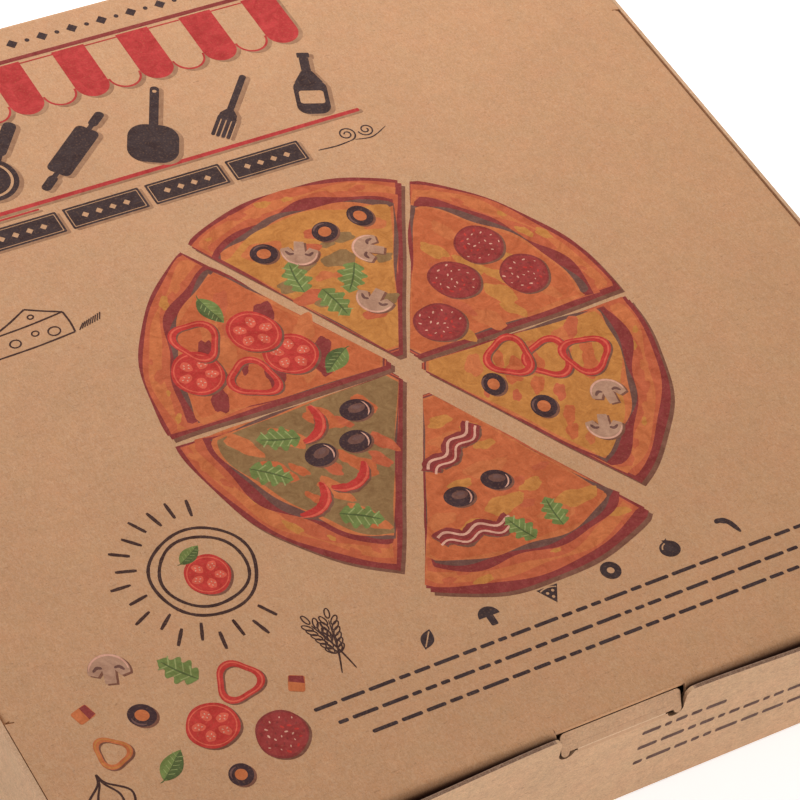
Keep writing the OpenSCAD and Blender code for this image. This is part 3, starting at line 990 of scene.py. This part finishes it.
def draw_sketches(sheet):
    """Hand-drawn dark line pictures beside the pizza."""
    rng = sheet.rng
    sun_x, sun_y = -82, -64
    for radius in (15.5, 12.6):
        ring = polar(sun_x, sun_y, radius, 54, 0.4, 0.95, waver(rng, 0.012))
        sheet.stroke(ring, 0.95, "line", closed=True)
    for step in range(17):
        angle = math.radians(72 + step * 14)
        reach = 19.5 + 1.6 * math.sin(3 * step)
        start = (sun_x + reach * math.cos(angle), sun_y + reach * math.sin(angle))
        end = (sun_x + (reach + 6) * math.cos(angle + 0.03), sun_y + (reach + 6) * math.sin(angle + 0.03))
        sheet.stroke(smooth_line([start, end], 5), 1.05, "line", taper=0.35)
    tomato_slice(sheet, sun_x + 0.5, sun_y - 1.5, 7.0)
    plain_leaf(sheet, sun_x - 1, sun_y + 6.6, 8.5, 0.5)
    for lean, foot in ((-0.25, 2.5), (0.3, -2.0)):
        draw_wheat_ear(sheet, -62 + foot, -110, lean)
    draw_cheese_wedge(sheet, -88, 34)
    draw_garlic(sheet, -139, -121)


def draw_wheat_ear(sheet, x, y, lean):
    """An ear of wheat: a stem with pairs of grains."""
    turn = -lean
    stem = smooth_line([(0, 0), (0.5, 8), (0, 18)], 8)
    sheet.stroke(moved(stem, x, y, turn), 0.55, "line", taper=0.5)
    for step in range(6):
        for side in (1, -1):
            grain = polar(side * 1.5, 8.5 + 1.9 * step, 1.7, 14, math.pi / 2 - side * 0.5, 0.42)
            sheet.stroke(moved(grain, x, y, turn), 0.42, "line", closed=True)
    sheet.stroke(moved(polar(0, 20.4, 1.7, 14, math.pi / 2, 0.42), x, y, turn), 0.42, "line", closed=True)


def draw_cheese_wedge(sheet, x, y):
    """A sketched wedge of cheese with holes and a little hatching."""
    sides = ([(-12, 2), (3, 9)], [(3, 9), (13, 4)], [(13, 4), (-12, 2)], [(-12, 2), (-12, -6)],
             [(-12, -6), (13, -4.5)], [(13, -4.5), (13, 4)])
    for start, end in sides:
        middle = ((start[0] + end[0]) / 2 + 0.3, (start[1] + end[1]) / 2 - 0.3)
        sheet.stroke(moved(smooth_line([start, middle, end], 6), x, y), 0.6, "line")
    for hx, hy, radius in ((-5, -2.3, 1.7), (2, -0.8, 1.1), (7.5, -2, 1.9), (3.5, 5.6, 0.9)):
        sheet.stroke(polar(x + hx, y + hy, radius, 16, 0.2, 0.85), 0.5, "line", closed=True)
    for step in range(9):
        hatch = [(14.5 + 0.9 * step, -4.4 + 0.2 * step), (16.6 + 0.8 * step, -2.2 + 0.25 * step)]
        sheet.stroke(moved(smooth_line(hatch, 3), x, y), 0.4, "line")


def draw_garlic(sheet, x, y):
    """A sketched bulb of garlic."""
    for width in (1.0, 0.5):
        for side in (1, -1):
            clove = [
                (0, 8.5), (side * 1.2 * width, 5.2), (side * 6.2 * width, 0.5),
                (side * 4.6 * width, -4.6), (0, -5.8),
            ]
            sheet.stroke(moved(smooth_line(clove, 6), x, y), 0.6, "line")
    for step in range(5):
        root = [(-2 + step, -5.9), (-2.3 + 1.15 * step, -7.3)]
        sheet.stroke(moved(smooth_line(root, 2), x, y), 0.4, "line")


def draw_ingredients(sheet):
    """Loose ingredients scattered at the front left of the lid."""
    mushroom_slice(sheet, -121, -84, 6.4, -0.3)
    curly_leaf(sheet, -104, -91, 12.5, 2.2)
    pepper_ring(sheet, -91, -101, 7.0)
    olive_ring(sheet, -119.5, -100.5, 4.0)
    tomato_slice(sheet, -104, -111, 7.6)
    sausage_slice(sheet, -88.5, -121, 7.8)
    plain_leaf(sheet, -119.5, -118, 11, 0.7)
    pepper_ring(sheet, -132, -108, 5.2, "crust_light", "cheese_gold")
    olive_ring(sheet, -104.5, -128, 3.6)
    mushroom_slice(sheet, -122, -134, 5.4, 0.9)
    for x, y, turn in ((-133.5, -94, 0.3), (-77, -108, 1.1), (-108, -141, 0.6)):
        cube = rounded_bar(5.4, 4.6, 0.7, 3)
        sheet.shape(moved(cube, x, y, turn), "crust_light")
        sheet.shape(moved([(0.2, -2.2), (2.6, -1.9), (2.5, 2.1), (0.5, 2.2)], x, y, turn), "deep_red")


# Operators

class PIZZA_OT_board(bpy.types.Operator):
    """Give the tray, the lid and the lock tab their kraft board"""

    bl_idname = "pizza.board"
    bl_label = "Kraft Board"

    def execute(self, context):
        board = context.scene.pizza_board
        # Painted light: the three parts share one board, and their base colours differ for how the light
        # falls on them
        finishes = {
            "tray": board_material("kraft_tray", board.tray, WALL_TEXTURE, WALL_TOP - 0.05 * MM),
            "lid": board_material("kraft_lid", board.lid, LID_TEXTURE),
            "lock_tab": board_material("kraft_lock_tab", board.tab, WALL_TEXTURE, TAB_HIGH.z - 0.6 * MM),
        }
        for node, finish in finishes.items():
            slots = frame["nodes"][node].material_slots
            if not slots:
                raise RuntimeError(f"node {node} has no material slot")
            for slot in slots:
                slot.material = finish
        return {"FINISHED"}


def strip_over_crease(name, profile, half, materials, indices=None):
    """A thin strip of liner drawn out along X over a crease, from points of its section."""
    points = [Vector((side * half, y, z)) for y, z in profile for side in (-1, 1)]
    faces = [(2 * i, 2 * i + 1, 2 * i + 3, 2 * i + 2) for i in range(len(profile) - 1)]
    return add_piece(name, points, faces, materials, None, indices)


class PIZZA_OT_crease_liners(bpy.types.Operator):
    """Add the outer liner that runs on over the lock tab's crease and over the rear fold"""

    bl_idname = "pizza.crease_liners"
    bl_label = "Crease Liners"

    def execute(self, context):
        board = context.scene.pizza_board
        # The second material is a painted highlight, laid on the faces of the crease's bend
        materials = [board_material("kraft_over_crease", board.tab),
                     board_material("crease_line", board.crease_highlight)]
        radius = BOARD_T / 2 + FILM
        below = [(TAB_HINGE.y - radius, TAB_HINGE.z - drop * MM) for drop in (1.6, 0.8, 0.3)]
        lean = [TAB_LEAN * step / CREASE_STEPS for step in range(CREASE_STEPS + 1)]
        bend = [(TAB_HINGE.y - radius * math.cos(a), TAB_HINGE.z + radius * math.sin(a)) for a in lean]
        above = [
            (bend[-1][0] + rise * MM * math.sin(TAB_LEAN), bend[-1][1] + rise * MM * math.cos(TAB_LEAN))
            for rise in (0.3, 0.9, 1.8)
        ]
        over_tab = strip_over_crease(
            "crease_liner_tab", below + bend + above, CREASE_HALF, materials,
            [0] * len(below) + [1] * CREASE_STEPS + [0] * len(above),
        )
        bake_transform(over_tab)
        radius = REAR_FOLD_R + FILM / 2
        turns = [math.radians(22 + 46 * step / 16) for step in range(17)]
        arc_points = [
            (REAR_RING.y + radius * math.cos(turn), REAR_RING.z + radius * math.sin(turn)) for turn in turns
        ]
        over_fold = strip_over_crease("crease_liner_rear", arc_points, REAR_HALF, materials)
        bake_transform(over_fold)
        return {"FINISHED"}


def fluted_edge(name, path, materials, pitch):
    """The painted shade in the hollows and the waved middle layer that show on a cut edge, along a path of
    its front face.
    """
    ribbons = (
        # The first ribbon is painted shade: a dark sheet over the open hollows between the liners
        ([HOLLOW[0]] * len(path), [HOLLOW[1]] * len(path), 0.5 * FILM),
        ([], [], FILM),
    )
    length = 0.0
    for number, point in enumerate(path):
        length += (point - path[number - 1]).length if number else 0
        wave = math.sin(2 * math.pi * length / pitch)
        middle = (HOLLOW[0] + HOLLOW[1]) / 2 + wave * (HOLLOW[1] - HOLLOW[0] - MEDIUM_T) / 2
        ribbons[1][0].append(middle - MEDIUM_T / 2)
        ribbons[1][1].append(middle + MEDIUM_T / 2)
    points, faces, indices = [], [], []
    for index, (near, far, rise) in enumerate(ribbons):
        start = len(points)
        for place, low, high in zip(path, near, far):
            points += [place + Vector((0, depth, rise)) for depth in (low, high)]
        count = len(path) - 1
        corners = [start + 2 * step for step in range(count)]
        faces += [(corner, corner + 2, corner + 3, corner + 1) for corner in corners]
        indices += [index] * count
    return add_piece(name, points, faces, materials, "tray", indices)


class PIZZA_OT_cut_edges(bpy.types.Operator):
    """Show the fluted middle layer on the cut top edge of the front wall"""

    bl_idname = "pizza.cut_edges"
    bl_label = "Fluted Cut Edges"

    def execute(self, context):
        board = context.scene.pizza_board
        # Painted shade for the hollows, the raw board colour for the waved layer
        materials = [board_material("painted_flute_shade", board.flute),
                     board_material("flute_medium", board.cut_edge)]
        on_wall = on_front_wall()
        steps = int((FRONT_EDGE[1] - FRONT_EDGE[0]) / (board.flute_pitch / 10))
        for name, side in (("cut_edge_front_left", -1), ("cut_edge_front_right", 1)):
            path = []
            for step in range(steps + 1):
                x = side * (FRONT_EDGE[0] + (FRONT_EDGE[1] - FRONT_EDGE[0]) * step / steps)
                place = Vector(on_wall(x / MM, (WALL_TOP - FILM) / MM))
                path.append(Vector((x, place.y, WALL_TOP)))
            fluted_edge(name, path, materials, board.flute_pitch)
        return {"FINISHED"}


class PIZZA_OT_print_pizza(bpy.types.Operator):
    """Print the sliced pizza in the middle of the lid"""

    bl_idname = "pizza.print_pizza"
    bl_label = "Printed Pizza"

    def execute(self, context):
        sizes = context.scene.pizza_print
        sheet = Print(seed=11)
        draw_pizza(sheet, sizes.pizza_x / MM, sizes.pizza_y / MM, sizes.pizza_radius / MM, sizes.slices)
        sheet.build("lid_print_pizza", "lid", on_lid)
        return {"FINISHED"}


class PIZZA_OT_print_heading(bpy.types.Operator):
    """Print the awning, the tools, the rules, the bars and the scroll at the back of the lid"""

    bl_idname = "pizza.print_heading"
    bl_label = "Printed Heading"

    def execute(self, context):
        sheet = Print(seed=21)
        draw_awning(sheet, left=-97, right=49, top=139, height=23, stripes=13)
        for x, y, width, height in ((-37, 80.6, 172, 1.5), (-93, 78.3, 60, 0.7)):
            rule = rounded_bar(width, height, height * 0.35)
            sheet.shape(moved(rule, x + 0.8, y - 0.9), "shade")
            sheet.shape(moved(rule, x, y), "red")
        draw_tools(sheet, left=-70, pitch=27.5, y=97, size=1.28)
        draw_bars(sheet, left=-84.5, pitch=27.6, count=4, y=71.2, width=25.4, height=8.8)
        draw_scroll(sheet, x=28, y=71.5, size=9)
        for step in range(17):
            radius = 0.8 if step % 2 else 2.0
            sheet.shape(polar(-60 + 5.2 * step, 147, radius, 12 if step % 2 else 4), "dark")
        sheet.build("lid_print_heading", "lid", on_lid)
        return {"FINISHED"}


class PIZZA_OT_print_drawings(bpy.types.Operator):
    """Print the sketches, the loose ingredients and the rows of bars at the front of the lid"""

    bl_idname = "pizza.print_drawings"
    bl_label = "Printed Drawings"

    def execute(self, context):
        sheet = Print(seed=31)
        draw_sketches(sheet)
        draw_ingredients(sheet)
        draw_pictures(sheet, left=-37, pitch=20, y=-109.5)
        rows = [(-77, 84, -117.8), (-73, 82, -124.0), (-66, 74, -130.2)]
        draw_rows(sheet, rows, height=1.15, ink="dark")
        sheet.build("lid_print_drawings", "lid", on_lid)
        return {"FINISHED"}


class PIZZA_OT_print_wall(bpy.types.Operator):
    """Print the rows of bars on the front wall"""

    bl_idname = "pizza.print_wall"
    bl_label = "Printed Front Wall"

    def execute(self, context):
        sheet = Print(seed=42)
        draw_rows(sheet, [(8, 40, 31), (8, 122, 24), (8, 122, 17)], height=1.6, ink="faded")
        sheet.build("front_wall_print", "tray", on_front_wall())
        return {"FINISHED"}


def aimed(place, target):
    """The transform of a lamp at a place that shines at a target."""
    turn = (Vector(target) - Vector(place)).to_track_quat("-Z", "Y")
    return Matrix.Translation(place) @ turn.to_matrix().to_4x4()


def add_area_lamp(name, place, target, size, power):
    """A soft lamp of a width and a height."""
    lamp = bpy.data.lights.new(name, "AREA")
    lamp.shape = "RECTANGLE"
    lamp.size, lamp.size_y = size
    lamp.energy = power
    holder = bpy.data.objects.new(name, lamp)
    holder.matrix_world = aimed(place, target)
    bpy.context.scene.collection.objects.link(holder)


def seen_directly(tree):
    """1 for rays from the camera and for those that gloss or glass sends on, and 0 for light."""
    path = tree.nodes.new("ShaderNodeLightPath").outputs
    seen = calc(tree, "MAXIMUM", path["Is Camera Ray"], path["Is Glossy Ray"])
    return calc(tree, "MAXIMUM", seen, path["Is Transmission Ray"])


class PIZZA_OT_stage(bpy.types.Operator):
    """Add the pale floor, the soft lamps, the surroundings and the camera"""

    bl_idname = "pizza.stage"
    bl_label = "Stage"

    def execute(self, context):
        settings = context.scene.pizza_stage
        self.add_floor(settings)
        self.add_surroundings(context, settings)
        add_area_lamp("key_lamp", KEY_PLACE, (0, 0.05, 0.04), (KEY_SIZE, KEY_SIZE), settings.key)
        add_area_lamp("front_lamp", FRONT_PLACE, (0, 0, 0.03), LOW_LAMP, settings.fill)
        add_area_lamp("side_lamp", SIDE_PLACE, (0, 0, 0.03), LOW_LAMP, settings.fill * SIDE_SHARE)
        self.add_camera(context)
        context.scene.view_settings.view_transform = "Standard"
        return {"FINISHED"}

    def add_floor(self, settings):
        """A floor whose lit part is white to the camera and whose shadow stays."""
        material, tree, shader = new_material("studio_floor")
        shader.inputs["Base Color"].default_value = (0.82, 0.82, 0.82, 1)
        shader.inputs["Roughness"].default_value = 0.9
        strength = calc(tree, "MULTIPLY", seen_directly(tree), FLOOR_GLOW)
        glow = add_node(tree, "ShaderNodeEmission", {
            "Color": (*settings.background, 1), "Strength": strength,
        })
        both = add_node(tree, "ShaderNodeAddShader", {0: shader.outputs[0], 1: glow.outputs[0]})
        output = next(node for node in tree.nodes if node.type == "OUTPUT_MATERIAL")
        tree.links.new(both.outputs[0], output.inputs["Surface"])
        mesh = bpy.data.meshes.new("floor")
        square = ((-1, -1), (1, -1), (1, 1), (-1, 1))
        corners = [(x * FLOOR_REACH, y * FLOOR_REACH, -FLOOR_DROP) for x, y in square]
        mesh.from_pydata(corners, [], [(0, 1, 2, 3)])
        mesh.materials.append(material)
        floor = bpy.data.objects.new("floor", mesh)
        bpy.context.scene.collection.objects.link(floor)

    def add_surroundings(self, context, settings):
        """White to the camera and in reflections, and softer as a lamp."""
        world = bpy.data.worlds.new("surroundings")
        world.use_nodes = True
        tree = world.node_tree
        tree.nodes.clear()
        strength = remap(tree, seen_directly(tree), 0, 1, settings.ambient, 1)
        background = add_node(tree, "ShaderNodeBackground", {
            "Color": (*settings.background, 1), "Strength": strength,
        })
        output = tree.nodes.new("ShaderNodeOutputWorld")
        tree.links.new(background.outputs[0], output.inputs["Surface"])
        context.scene.world = world

    def add_camera(self, context):
        camera = bpy.data.cameras.new("camera")
        camera.lens = CAMERA_LENS
        camera.sensor_width = 36
        camera.clip_start = 0.02
        camera.clip_end = 30
        holder = bpy.data.objects.new("camera", camera)
        back = CAMERA_RIGHT.cross(CAMERA_UP)
        turn = Matrix((CAMERA_RIGHT, CAMERA_UP, back)).transposed()
        holder.matrix_world = Matrix.Translation(CAMERA_PLACE) @ turn.to_4x4()
        context.scene.collection.objects.link(holder)
        context.scene.camera = holder


class PIZZA_PT_panel(bpy.types.Panel):
    """Lists the steps in the sidebar"""

    bl_idname = "PIZZA_PT_panel"
    bl_label = "Pizza Box"
    bl_space_type = "VIEW_3D"
    bl_region_type = "UI"
    bl_category = "Pizza Box"

    def draw(self, context):
        for operator in STEPS:
            self.layout.operator(operator.bl_idname)
        for group in (context.scene.pizza_board, context.scene.pizza_inks, context.scene.pizza_print,
                      context.scene.pizza_stage):
            box = self.layout.box()
            for name in group.__annotations__:
                box.prop(group, name)


SETTINGS = {
    "pizza_board": BoardSettings,
    "pizza_inks": InkSettings,
    "pizza_print": PrintSettings,
    "pizza_stage": StageSettings,
}
STEPS = (
    PIZZA_OT_board,
    PIZZA_OT_crease_liners,
    PIZZA_OT_cut_edges,
    PIZZA_OT_print_pizza,
    PIZZA_OT_print_heading,
    PIZZA_OT_print_drawings,
    PIZZA_OT_print_wall,
    PIZZA_OT_stage,
)


def register():
    for settings in SETTINGS.values():
        bpy.utils.register_class(settings)
    for name, settings in SETTINGS.items():
        setattr(bpy.types.Scene, name, PointerProperty(type=settings))
    for step in STEPS:
        bpy.utils.register_class(step)
    bpy.utils.register_class(PIZZA_PT_panel)


def unregister():
    bpy.utils.unregister_class(PIZZA_PT_panel)
    for step in reversed(STEPS):
        bpy.utils.unregister_class(step)
    for name in SETTINGS:
        delattr(bpy.types.Scene, name)
    for settings in SETTINGS.values():
        bpy.utils.unregister_class(settings)


def main():
    """Makes the dressed box."""
    register()
    bpy.ops.pizza.board()
    bpy.ops.pizza.crease_liners()
    bpy.ops.pizza.cut_edges()
    bpy.ops.pizza.print_pizza()
    bpy.ops.pizza.print_heading()
    bpy.ops.pizza.print_drawings()
    bpy.ops.pizza.print_wall()
    bpy.ops.pizza.stage()


if __name__ == "__main__":
    main()
